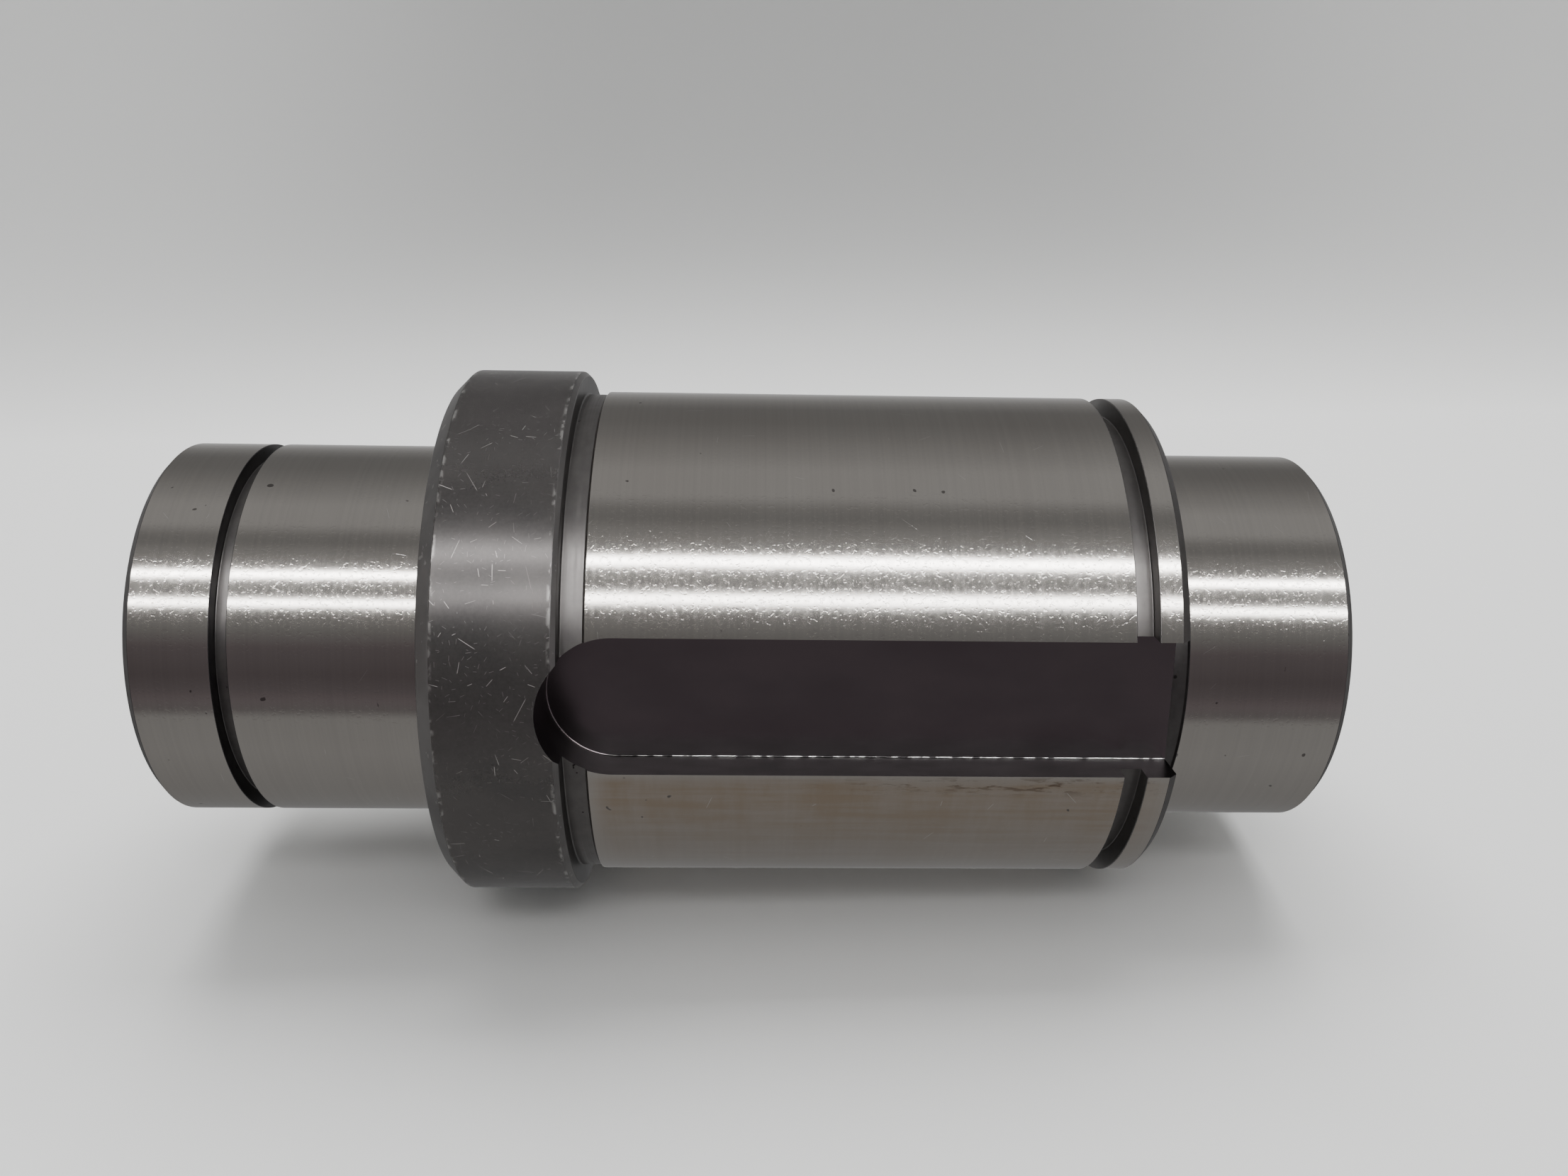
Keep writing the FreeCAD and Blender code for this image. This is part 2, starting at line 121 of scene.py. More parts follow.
def sleeve_outline():
    """Half section of the sleeve: (x mm from the left end, radius mm, rounding mm, zone, wear mm).

    The zone names the surface that runs from this corner to the next one; wear is how far the
    corner is knocked about round its edge.
    """
    outer = [
        (0.0, SEAT_MM + BORE_CHAMFER_MM, 0.0, "turned", 0.0),
        (0.0, JOURNAL_MM - END_CHAMFER_MM, 0.1, "edge", 0.02),
        (END_CHAMFER_MM, JOURNAL_MM, 0.08, "ground", 0.02),
        (LEFT_GROOVE_MM[0], JOURNAL_MM, 0.12, "groove", 0.02),
        (LEFT_GROOVE_MM[0], LEFT_GROOVE_FLOOR_MM, 0.2, "relief", 0.0),
        (LEFT_GROOVE_MM[1], LEFT_GROOVE_FLOOR_MM, 0.2, "groove", 0.0),
        (LEFT_GROOVE_MM[1], JOURNAL_MM, 0.12, "ground", 0.02),
        (FLANGE_START_MM - 1.1, JOURNAL_MM, 0.1, "groove", 0.0),
        (FLANGE_START_MM - 0.7, UNDERCUT_FLOOR_MM, 0.1, "groove", 0.0),
        (FLANGE_START_MM, UNDERCUT_FLOOR_MM, 0.2, "relief", 0.0),
        (FLANGE_START_MM, FLANGE_MM - FLANGE_CHAMFER_MM, 0.25, "bevel", 0.06),
        (FLANGE_START_MM + FLANGE_CHAMFER_MM, FLANGE_MM, 0.25, "blackened", 0.1),
        (FLANGE_END_MM - FLANGE_EDGE_MM, FLANGE_MM, 0.2, "bevel", 0.1),
        (FLANGE_END_MM, FLANGE_MM - FLANGE_EDGE_MM, 0.2, "groove", 0.05),
        (FLANGE_END_MM, RELIEF_FLOOR_MM, 0.3, "relief", 0.0),
        (RELIEF_END_MM, RELIEF_FLOOR_MM, 0.1, "ground", 0.0),
        (RELIEF_END_MM + 0.3, BODY_MM, 0.12, "ground", 0.02),
        (RIGHT_GROOVE_MM[0], BODY_MM, 0.12, "relief", 0.02),
        (RIGHT_GROOVE_MM[0], RIGHT_GROOVE_FLOOR_MM, 0.2, "relief", 0.0),
        (RIGHT_GROOVE_MM[1], RIGHT_GROOVE_FLOOR_MM, 0.2, "relief", 0.0),
        (RIGHT_GROOVE_MM[1], BODY_MM, 0.15, "ground", 0.03),
        (BODY_END_MM - RIM_CHAMFER_MM, BODY_MM, 0.08, "edge", 0.02),
        (BODY_END_MM, BODY_MM - RIM_CHAMFER_MM, 0.1, "turned", 0.02),
        (BODY_END_MM, JOURNAL_RELIEF_FLOOR_MM, 0.3, "edge", 0.0),
        (JOURNAL_RELIEF_END_MM, JOURNAL_RELIEF_FLOOR_MM, 0.1, "groove", 0.0),
        (JOURNAL_RELIEF_END_MM + 0.2, JOURNAL_MM, 0.1, "ground", 0.02),
        (LENGTH_MM - END_CHAMFER_MM, JOURNAL_MM, 0.08, "edge", 0.02),
        (LENGTH_MM, JOURNAL_MM - END_CHAMFER_MM, 0.1, "turned", 0.02),
    ]
    end = [
        (0.0, SEAT_MM + BORE_CHAMFER_MM, 0.15, "turned", 0.0),
        (BORE_CHAMFER_MM, SEAT_MM, 0.15, "turned", 0.0),
        (RING_GROOVE_NEAR_MM, SEAT_MM, 0.0, "groove", 0.0),
        (RING_GROOVE_NEAR_MM, RING_GROOVE_MM, 0.0, "groove", 0.0),
        (RING_GROOVE_FAR_MM, RING_GROOVE_MM, 0.0, "groove", 0.0),
        (RING_GROOVE_FAR_MM, SEAT_MM, 0.0, "turned", 0.0),
        (SEAT_DEPTH_MM, SEAT_MM, 0.0, "turned", 0.0),
        (SEAT_DEPTH_MM, RACE_MM, 0.0, "ground", 0.0),
    ]
    right_bore = [(LENGTH_MM - x, *rest) for x, *rest in end]
    # Run backwards, so each zone lies one surface nearer the end than it does in the right bore.
    left_bore = end[:0:-1]
    return outer + right_bore + left_bore


def rounded(corners):
    """The outline with each corner rounded by four short steps: (x, radius, zone, wear) in metres.

    A rounding beside a ground surface belongs to its other neighbour. Any other one is shared.
    """
    steps = 4
    path = []
    for place, (x, radius, rounding, zone, wear) in enumerate(corners):
        here = Vector((x, radius))
        before = Vector(corners[place - 1][:2])
        after = Vector(corners[(place + 1) % len(corners)][:2])
        last_zone = corners[place - 1][3]
        if not rounding:
            path.append((here * MM, zone, wear * MM))
            continue
        start = here + (before - here).normalized() * rounding
        stop = here + (after - here).normalized() * rounding
        for step in range(steps + 1):
            share = step / steps
            point = start.lerp(here, share).lerp(here.lerp(stop, share), share)
            worn = wear * MM * math.sin(math.pi * share)
            if step == steps:
                onward = True
            elif "ground" in (zone, last_zone):
                onward = zone != "ground"
            else:
                onward = step >= steps / 2
            path.append((point * MM, zone if onward else last_zone, worn))
    return path


def wear_share(x, across):
    """How much of its wear an edge has at a point: a few chips, and a fine ripple between them."""
    spot = Vector((x, 0, 0)) * 40 + across * 9
    chip = max(0.0, noise.noise(spot * 3) - 0.15)
    ripple = 0.3 * abs(noise.noise(spot * 11))
    return chip + ripple


def revolved_sleeve(zones):
    """The sleeve before the keyway and flutes are cut, with one material per zone."""
    path = rounded(sleeve_outline())
    count = len(path)
    vertices = []
    for around in range(AROUND):
        angle = 2 * math.pi * around / AROUND
        across = Vector((0, math.cos(angle), math.sin(angle)))
        for point, _, wear in path:
            radius = point.y
            if wear:
                radius -= wear * wear_share(point.x, across)
            vertices.append(Vector((point.x - HALF_LENGTH, 0, 0)) + across * radius)
    faces = []
    for around in range(AROUND):
        following = (around + 1) % AROUND
        for place in range(count):
            onward = (place + 1) % count
            faces.append((around * count + place, around * count + onward,
                          following * count + onward, following * count + place))
    sleeve = new_object("sleeve_steel", vertices, faces, zones.values())
    order = list(zones)
    for index, face in enumerate(sleeve.data.polygons):
        face.material_index = order.index(path[index % count][1])
        face.use_smooth = True
    return sleeve


def stadium(first, second, radius, steps=48):
    """Points round a slot whose end centres lie at first and second along one line."""
    points = []
    for centre, start in ((second, -90), (first, 90)):
        for step in range(steps + 1):
            angle = math.radians(start + 180 * step / steps)
            points.append((centre + radius * math.cos(angle), radius * math.sin(angle)))
    return points


def prism(name, rings, material, end_material=None):
    """A closed solid through rings of equal count; its last band and cap may have their own material."""
    count = len(rings[0])
    vertices = [point for ring in rings for point in ring]
    faces = [tuple(range(count))[::-1]]
    for level in range(len(rings) - 1):
        low = level * count
        for place in range(count):
            onward = (place + 1) % count
            faces.append((low + place, low + onward, low + count + onward, low + count + place))
    faces.append(tuple(range((len(rings) - 1) * count, len(rings) * count)))
    solid = new_object(name, vertices, faces, [material, end_material or material])
    for index, face in enumerate(solid.data.polygons):
        face.use_smooth = True
        if index > (len(rings) - 2) * count:
            face.material_index = 1
    return solid


def keyway_cutter(floor_material, wall_material):
    """The slot mill's path: a flat floor with a small round corner, open past the right shoulder."""
    steps = 5
    clear = -1.1 * FLANGE_RADIUS
    far = from_left(BODY_END_MM) + KEY_RADIUS
    rings = []
    for step in range(steps + 1):
        angle = math.radians(90 * step / steps)
        inset = KEY_CORNER * (1 - math.sin(angle))
        depth = -KEY_FLOOR - KEY_CORNER * (1 - math.cos(angle))
        rings.append([Vector((x, depth, z)) for x, z in stadium(KEY_CENTRE, far, KEY_RADIUS - inset)])
    rings.append([Vector((x, clear, z)) for x, z in stadium(KEY_CENTRE, far, KEY_RADIUS)])
    return prism("keyway_cutter", rings, floor_material, wall_material)


def flute_cutter(circuit, material):
    """The relief over the return row and the turns of one ball circuit."""
    turn = Euler((2 * math.pi * circuit / CIRCUITS, 0, 0)).to_matrix()
    rings = [
        [turn @ Vector((x, y, FLUTE_HEIGHT + z)) for y, z in stadium(*FLUTE_ROW, FLUTE_RADIUS, 12)]
        for x in (-FLUTE_REACH, FLUTE_REACH)
    ]
    return prism(f"flute_cutter_{circuit}", rings, material)


def cut(piece, cutters):
    """Subtract the cutters, keep their materials on the new faces, and give clean shading."""
    sharp = math.radians(32)
    for cutter in cutters:
        boolean = piece.modifiers.new(cutter.name, "BOOLEAN")
        boolean.operation = "DIFFERENCE"
        boolean.solver = "EXACT"
        boolean.material_mode = "TRANSFER"
        boolean.object = cutter
    bake_modifiers(piece)
    for cutter in cutters:
        bpy.data.objects.remove(cutter)
    drop_slivers(piece)
    piece.data.set_sharp_from_angle(angle=sharp)
    weighted = piece.modifiers.new("clean_normals", "WEIGHTED_NORMAL")
    weighted.mode = "FACE_AREA_WITH_ANGLE"
    weighted.keep_sharp = True
    bake_modifiers(piece)


def drop_slivers(piece):
    """Remove faces with next to no area, which the cuts leave where edges meet."""
    mesh = bmesh.new()
    mesh.from_mesh(piece.data)
    bmesh.ops.dissolve_degenerate(mesh, dist=SLIVER, edges=mesh.edges)
    mesh.to_mesh(piece.data)
    mesh.free()


def bake_modifiers(piece):
    """Make what the modifiers show the piece's own mesh."""
    graph = bpy.context.evaluated_depsgraph_get()
    graph.update()
    mesh = bpy.data.meshes.new_from_object(piece.evaluated_get(graph))
    piece.modifiers.clear()
    piece.data = mesh


# ---------------------------------------------------------------- materials

class Shader:
    """A principled material with a few helpers for wiring noise into it."""

    def __init__(self, name, color, metallic, roughness, **sockets):
        self.material = bpy.data.materials.new(name)
        self.material.use_nodes = True
        self.nodes = self.material.node_tree.nodes
        self.links = self.material.node_tree.links
        self.surface = self.nodes["Principled BSDF"]
        self.surface.inputs["Base Color"].default_value = (*color, 1)
        self.surface.inputs["Metallic"].default_value = metallic
        self.surface.inputs["Roughness"].default_value = roughness
        for socket, value in sockets.items():
            self.surface.inputs[socket.replace("_", " ")].default_value = value
        self.place = self.nodes.new("ShaderNodeTexCoord").outputs["Object"]

    def put(self, source, target):
        self.links.new(source, target)

    def math(self, operation, *values):
        """One step of arithmetic on numbers and sockets."""
        node = self.nodes.new("ShaderNodeMath")
        node.operation = operation
        for socket, value in zip(node.inputs, values):
            if isinstance(value, (int, float)):
                socket.default_value = value
            else:
                self.put(value, socket)
        return node.outputs[0]

    def times(self, product, *factors):
        for factor in factors:
            product = self.math("MULTIPLY", product, factor)
        return product

    def parts(self):
        """The x, y and z of the surface point."""
        node = self.nodes.new("ShaderNodeSeparateXYZ")
        self.put(self.place, node.inputs[0])
        return node.outputs

    def unrolled(self, radius):
        """The surface laid flat: along the axis, round the circumference from the keyway side."""
        x, y, z = self.parts()
        angle = self.math("ARCTAN2", z, self.times(y, -1.0))
        node = self.nodes.new("ShaderNodeCombineXYZ")
        self.put(x, node.inputs[0])
        self.put(self.times(angle, radius), node.inputs[1])
        return node.outputs[0]

    def noise(self, scale, detail=2.0, roughness=0.5, source=None, turn=0.0, offset=0.0):
        """Noise whose grain is 1 / scale metres along each axis."""
        mapping = self.nodes.new("ShaderNodeMapping")
        mapping.inputs["Scale"].default_value = scale
        mapping.inputs["Rotation"].default_value = (0, 0, math.radians(turn))
        mapping.inputs["Location"].default_value = (offset, offset, offset)
        mapping.vector_type = "POINT"
        self.put(source or self.place, mapping.inputs["Vector"])
        node = self.nodes.new("ShaderNodeTexNoise")
        node.inputs["Scale"].default_value = 1.0
        node.inputs["Detail"].default_value = detail
        node.inputs["Roughness"].default_value = roughness
        self.put(mapping.outputs[0], node.inputs["Vector"])
        return node.outputs["Fac"]

    def ramp(self, source, low, high, bottom=0.0, top=1.0):
        """Map low..high onto bottom..top and hold it there outside."""
        node = self.nodes.new("ShaderNodeMapRange")
        node.interpolation_type = "SMOOTHSTEP"
        for socket, value in zip(node.inputs[1:5], (low, high, bottom, top)):
            socket.default_value = value
        self.put(source, node.inputs[0])
        return node.outputs[0]

    def mix(self, share, first, second):
        """Blend two colours; each may be a colour or a socket."""
        node = self.nodes.new("ShaderNodeMix")
        node.data_type = "RGBA"
        self.put(share, node.inputs["Factor"])
        for name, value in (("A", first), ("B", second)):
            socket = next(s for s in node.inputs if s.name == name and s.type == "RGBA")
            if isinstance(value, tuple):
                socket.default_value = (*value, 1)
            else:
                self.put(value, socket)
        return next(s for s in node.outputs if s.type == "RGBA")

    def color(self, source):
        self.put(source, self.surface.inputs["Base Color"])

    def rough(self, source):
        self.put(source, self.surface.inputs["Roughness"])

    def bump(self, *layers):
        """Stack bumps; each layer is (height socket, height in metres)."""
        normal = None
        for height, distance in layers:
            node = self.nodes.new("ShaderNodeBump")
            node.inputs["Strength"].default_value = 1.0
            node.inputs["Distance"].default_value = distance
            self.put(height, node.inputs["Height"])
            if normal:
                self.put(normal, node.inputs["Normal"])
            normal = node.outputs[0]
        self.put(normal, self.surface.inputs["Normal"])


def ground_steel():
    """Cylindrically ground, hardened steel: fine rings, a silky sheen, wiped oil and small pits."""
    bare = (0.565, 0.53, 0.492)
    shader = Shader("ground_steel", bare, 1.0, 0.13, Anisotropic=0.8, Anisotropic_Rotation=0.25)
    tangent = shader.nodes.new("ShaderNodeTangent")
    tangent.direction_type = "RADIAL"
    tangent.axis = "X"
    shader.put(tangent.outputs[0], shader.surface.inputs["Tangent"])
    x, y, z = shader.parts()
    flat = shader.unrolled(BODY_MM * MM)
    rings = shader.noise((2600, 22, 22), 2, 0.6)
    streaks = shader.noise((1400, 9, 9), 3, 0.7, offset=13.0)
    grain = shader.noise((1500, 1500, 1500), 2)
    dents = shader.ramp(shader.noise((1700, 1700, 1700), 2, offset=9.0), 0.57, 0.68)
    cloud = shader.noise((28, 28, 28), 3)
    marks = scratches(shader, flat, 9 * MM, 0.09 * MM, 3 * MM, 0.3)
    key_edge = -KEY_RADIUS
    below_key = shader.times(shader.ramp(z, key_edge - 23 * MM, key_edge - 2 * MM, 0.25, 1.0),
                             shader.ramp(z, key_edge - 2 * MM, key_edge + 0.5 * MM, 1.0, 0.0),
                             shader.ramp(y, -12 * MM, 0.0, 1.0, 0.0))
    start, end = from_left(RELIEF_END_MM), from_left(RIGHT_GROOVE_MM[0])
    along_body = shader.times(shader.ramp(x, start - 1.5 * MM, start + 4.5 * MM),
                              shader.ramp(x, end + 0.7 * MM, end + 9.7 * MM, 1.0, 0.0))
    wipe = shader.noise((150, 40, 40), 5, 0.7, turn=25, offset=3.0)
    smear = shader.noise((45, 800, 800), 3, 0.6, offset=17.0)
    oil = shader.times(below_key, along_body,
                       shader.ramp(shader.math("ADD", wipe, smear), 0.7, 1.3, 0.45, 1.0))
    lip = shader.times(shader.ramp(z, key_edge - 4.5 * MM, key_edge - 1 * MM),
                       shader.ramp(x, 0.0, 50 * MM))
    dried = shader.times(below_key, lip, along_body,
                         shader.ramp(shader.noise((200, 1100, 1100), 4, 0.7), 0.5, 0.6))
    pits = shader.ramp(shader.noise((480, 480, 480), 1, offset=7.0), 0.78, 0.81)
    tone = shader.mix(shader.ramp(cloud, 0.3, 0.7), bare, (0.595, 0.565, 0.527))
    tone = shader.mix(shader.ramp(streaks, 0.25, 0.75, 0.16, 0.0), tone, (0.38, 0.36, 0.345))
    tone = shader.mix(oil, tone, (0.46, 0.37, 0.285))
    tone = shader.mix(dried, tone, (0.19, 0.135, 0.095))
    tone = shader.mix(marks, tone, (0.7, 0.67, 0.64))
    shader.color(shader.mix(pits, tone, (0.2, 0.185, 0.175)))
    shader.rough(shader.math("ADD", shader.ramp(grain, 0.3, 0.7, 0.1, 0.15),
                             shader.ramp(streaks, 0.3, 0.7, 0.0, 0.03)))
    shader.bump((rings, 1.2e-6), (grain, 2e-6), (dents, -4e-6), (marks, -2e-6), (pits, -6e-6))
    return shader.material


def scratches(shader, source, cell, width, longest, share):
    """Mask of straight scratches: at most one in each cell of the flat surface, in any direction.

    cell, width and longest are in metres; share is how many cells have a scratch.
    """
    voronoi = shader.nodes.new("ShaderNodeTexVoronoi")
    voronoi.voronoi_dimensions = "2D"
    voronoi.inputs["Scale"].default_value = 1 / cell
    shader.put(source, voronoi.inputs["Vector"])
    offset = shader.nodes.new("ShaderNodeVectorMath")
    offset.operation = "SUBTRACT"
    shader.put(source, offset.inputs[0])
    shader.put(voronoi.outputs["Position"], offset.inputs[1])
    across = shader.nodes.new("ShaderNodeSeparateXYZ")
    shader.put(offset.outputs[0], across.inputs[0])
    chance = shader.nodes.new("ShaderNodeSeparateColor")
    shader.put(voronoi.outputs["Color"], chance.inputs[0])
    angle = shader.times(chance.outputs[0], math.pi)
    cosine, sine = shader.math("COSINE", angle), shader.math("SINE", angle)
    dx, dy = across.outputs[0], across.outputs[1]
    along = shader.math("ADD", shader.times(dx, cosine), shader.times(dy, sine))
    aside = shader.math("SUBTRACT", shader.times(dy, cosine), shader.times(dx, sine))
    reach = shader.times(shader.math("ADD", chance.outputs[2], 0.25), longest / 2)
    near = shader.ramp(shader.math("ABSOLUTE", aside), width / 4, width / 2, 1.0, 0.0)
    inside = shader.ramp(shader.math("DIVIDE", shader.math("ABSOLUTE", along), reach), 0.7, 1.0, 1.0, 0.0)
    present = shader.math("LESS_THAN", chance.outputs[1], share)
    return shader.times(near, inside, present)


def blackened_steel():
    """Heat-blackened, unground steel of the flange: satin, mottled, scratched down to bright metal."""
    shader = Shader("blackened_steel", (0.1, 0.094, 0.093), 0.7, 0.26)
    x, _, _ = shader.parts()
    flat = shader.unrolled(FLANGE_RADIUS)
    cloud = shader.noise((70, 110, 110), 4, 0.6)
    grain = shader.noise((2300, 2300, 2300), 2)
    mottle = shader.noise((1900, 1900, 1900), 2, 0.6, offset=31.0)
    rings = shader.noise((1500, 30, 30), 2)
    tone = shader.mix(shader.ramp(cloud, 0.3, 0.7), (0.08, 0.075, 0.073), (0.1, 0.093, 0.09))
    tone = shader.mix(shader.ramp(mottle, 0.35, 0.65, 0.0, 0.2), tone, (0.13, 0.121, 0.118))
    nicks = scratches(shader, flat, 1.1 * MM, 0.1 * MM, 0.8 * MM, 0.5)
    marks = shader.math("MAXIMUM", scratches(shader, flat, 5 * MM, 0.13 * MM, 4 * MM, 0.4),
                        scratches(shader, flat, 2.4 * MM, 0.12 * MM, 2 * MM, 0.3))
    clusters = shader.ramp(shader.noise((80, 80, 1), 2, source=flat, offset=43.0), 0.42, 0.6, 0.15, 1.0)
    marks = shader.times(marks, clusters)
    tone = shader.mix(marks, tone, (0.42, 0.4, 0.385))
    tone = shader.mix(shader.times(nicks, clusters), tone, (0.2, 0.19, 0.185))
    left_edge = from_left(FLANGE_START_MM + FLANGE_CHAMFER_MM)
    right_edge = from_left(FLANGE_END_MM - FLANGE_EDGE_MM)
    half_width = (right_edge - left_edge) / 2
    from_middle = shader.math("ABSOLUTE", shader.math("SUBTRACT", x, (left_edge + right_edge) / 2))
    near_edge = shader.ramp(from_middle, half_width - 0.7 * MM, half_width - 0.2 * MM)
    chips = shader.ramp(shader.noise((600, 500, 500), 3, offset=19.0), 0.5, 0.62)
    worn = shader.times(near_edge, chips)
    shader.color(shader.mix(worn, tone, (0.28, 0.27, 0.26)))
    shader.rough(shader.ramp(grain, 0.3, 0.7, 0.25, 0.265))
    shader.bump((grain, 1.5e-6), (mottle, 2.8e-6), (rings, 1.5e-6), (nicks, -5e-6), (marks, -8e-6))
    return shader.material


def bevel_steel():
    """Turned chamfers: brighter than the flange and a little worn."""
    shader = Shader("bevel_steel", (0.2, 0.19, 0.19), 0.95, 0.34)
    cloud = shader.noise((150, 150, 150), 3)
    chips = shader.ramp(shader.noise((900, 700, 700), 2, offset=5.0), 0.66, 0.74)
    tone = shader.mix(shader.ramp(cloud, 0.3, 0.7), (0.19, 0.181, 0.178), (0.245, 0.234, 0.229))
    shader.color(shader.mix(chips, tone, (0.36, 0.345, 0.335)))
    shader.bump((shader.noise((2400, 30, 30), 2), 2e-6), (shader.noise((1200, 1200, 1200), 2), 3e-6))
    return shader.material


def turned_steel(name, low, high, roughness):
    """Turned faces and grooves: concentric tool marks, oiled and darker than the ground surfaces."""
    spread = 0.05
    shader = Shader(name, low, 0.9, roughness)
    cloud = shader.noise((400, 300, 300), 4, 0.6)
    marks = shader.noise((2800, 25, 25), 2)
    pits = shader.ramp(shader.noise((560, 560, 560), 2, offset=4.0), 0.74, 0.77)
    tone = shader.mix(shader.ramp(cloud, 0.2, 0.8), low, high)
    shader.color(shader.mix(pits, tone, (0.03, 0.027, 0.025)))
    shader.rough(shader.ramp(marks, 0.3, 0.7, roughness - spread, roughness + spread))
    shader.bump((marks, 3e-6), (shader.noise((1500, 1500, 1500), 2), 3e-6))
    return shader.material


def keyway_floor_steel():
    """The milled keyway floor, dark, with oil that lies in beads along its lower corner; towards the
    round end that corner is painted near black as painted shade.
    """
    shader = Shader("keyway_floor_steel", (0.3, 0.265, 0.28), 1.0, 0.27)
    x, _, z = shader.parts()
    cloud = shader.noise((50, 90, 90), 3)
    corner = shader.ramp(z, -KEY_RADIUS + 0.9 * KEY_CORNER, -KEY_RADIUS + 1.3 * KEY_CORNER, 1.0, 0.0)
    # painted shade towards the round end, where the corner's colour goes near black and dims its glint;
    # further on, oil beads
    oil_and_painted_shade = shader.times(corner, shader.ramp(x, KEY_CENTRE - 2 * MM, KEY_CENTRE + 20 * MM, 0.1, 1.0))
    beads = shader.noise((560, 2600, 2600), 2, offset=2.0)
    floor = shader.mix(shader.ramp(cloud, 0.3, 0.7), (0.29, 0.255, 0.265), (0.34, 0.3, 0.31))
    line = shader.mix(shader.ramp(beads, 0.42, 0.56), (0.07, 0.066, 0.067), (0.85, 0.83, 0.81))
    # the near-black colour here is painted shade on the corner near the round end
    corner_tone = shader.mix(oil_and_painted_shade, (0.006, 0.0055, 0.0055), line)
    shader.color(shader.mix(corner, floor, corner_tone))
    shader.rough(shader.math("SUBTRACT", 0.27, shader.times(oil_and_painted_shade, 0.12)))
    shader.bump((shader.noise((900, 900, 60), 2), 1e-6), (shader.times(beads, oil_and_painted_shade), 2e-5))
    return shader.material


def keyway_wall_steel():
    """The keyway's side walls: almost black, far darker than its floor."""
    tint = (0.85, 0.85, 0.85, 1)
    shader = Shader("keyway_wall_steel", (0.024, 0.0228, 0.0232), 1.0, 0.3, Specular_Tint=tint)
    cloud = shader.noise((150, 300, 300), 3)
    mill = shader.noise((1600, 90, 1600), 2)
    shader.color(shader.mix(shader.ramp(cloud, 0.3, 0.7), (0.018, 0.017, 0.0175), (0.03, 0.0285, 0.029)))
    shader.bump((mill, 3e-6))
    return shader.material


def ball_steel():
    """Polished bearing steel."""
    shader = Shader("ball_steel", (0.72, 0.72, 0.73), 1.0, 0.07)
    haze = shader.noise((700, 700, 700), 2)
    shader.rough(shader.ramp(haze, 0.3, 0.7, 0.05, 0.1))
    return shader.material


def retainer_polymer():
    """Black moulded polymer with a faint spark-eroded grain."""
    shader = Shader("retainer_polymer", (0.05, 0.052, 0.055), 0.0, 0.42)
    grain = shader.noise((2200, 2200, 2200), 2)
    shader.rough(shader.ramp(grain, 0.3, 0.7, 0.36, 0.5))
    shader.bump((grain, 8e-6))
    return shader.material


def spacer_aluminium():
    """Turned aluminium with fine rings."""
    shader = Shader("spacer_aluminium", (0.6, 0.6, 0.61), 1.0, 0.3)
    marks = shader.noise((1800, 15, 15), 2)
    shader.rough(shader.ramp(marks, 0.3, 0.7, 0.24, 0.36))
    shader.bump((marks, 4e-6))
    return shader.material


def spring_steel():
    """Phosphated spring steel: grey-black, slightly blotchy, stamped edges."""
    shader = Shader("spring_steel", (0.09, 0.09, 0.095), 0.85, 0.45)
    cloud = shader.noise((260, 260, 260), 4)
    shader.color(shader.mix(shader.ramp(cloud, 0.35, 0.65), (0.06, 0.06, 0.064), (0.12, 0.118, 0.115)))
    shader.bump((shader.noise((1500, 1500, 1500), 2), 6e-6))
    return shader.material


def seal_case_steel():
    """Bare pressed sheet steel."""
    shader = Shader("seal_case_steel", (0.46, 0.46, 0.47), 1.0, 0.28)
    marks = shader.noise((60, 900, 900), 3)
    shader.rough(shader.ramp(marks, 0.3, 0.7, 0.26, 0.34))
    shader.bump((marks, 1e-6))
    return shader.material


def seal_rubber():
    """Black nitrile rubber, slightly dull."""
    shader = Shader("seal_rubber", (0.024, 0.024, 0.025), 0.0, 0.5)
    grain = shader.noise((1400, 1400, 1400), 2)
    shader.rough(shader.ramp(grain, 0.3, 0.7, 0.42, 0.6))
    shader.bump((grain, 1e-5))
    return shader.material


# ---------------------------------------------------------------- the object

def make_sleeve():
    """The rounded sleeve, which takes the place of the plain one in the frame."""
    zones = {
        "ground": ground_steel(),
        "blackened": blackened_steel(),
        "bevel": bevel_steel(),
        "turned": turned_steel("turned_steel", (0.38, 0.36, 0.345), (0.42, 0.4, 0.382), 0.3),
        "relief": turned_steel("relief_steel", (0.15, 0.141, 0.137), (0.19, 0.18, 0.174), 0.36),
        "edge": turned_steel("edge_steel", (0.09, 0.085, 0.083), (0.13, 0.122, 0.12), 0.38),
        "groove": turned_steel("groove_steel", (0.06, 0.057, 0.058), (0.09, 0.085, 0.085), 0.34),
    }
    sleeve = revolved_sleeve(zones)
    cutters = [keyway_cutter(keyway_floor_steel(), keyway_wall_steel())]
    cutters += [flute_cutter(circuit, zones["turned"]) for circuit in range(CIRCUITS)]
    cut(sleeve, cutters)
    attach(sleeve, "bushing")
    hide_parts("sleeve")


def dress_frame():
    """Each CAD node keeps its mesh and takes the material of its kind."""
    kinds = {
        "retainer": retainer_polymer(),
        "retaining_ring": spring_steel(),
        "seal_case": seal_case_steel(),
        "seal_lip": seal_rubber(),
        "spacer": spacer_aluminium(),
        "loaded_balls": ball_steel(),
    }
    kinds["return_balls"] = kinds["turn_balls"] = kinds["loaded_balls"]
    for name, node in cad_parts.items():
        for kind, material in kinds.items():
            if name.startswith(f"{kind}_"):
                node.data.materials.clear()
                node.data.materials.append(material)


# ---------------------------------------------------------------- the stage

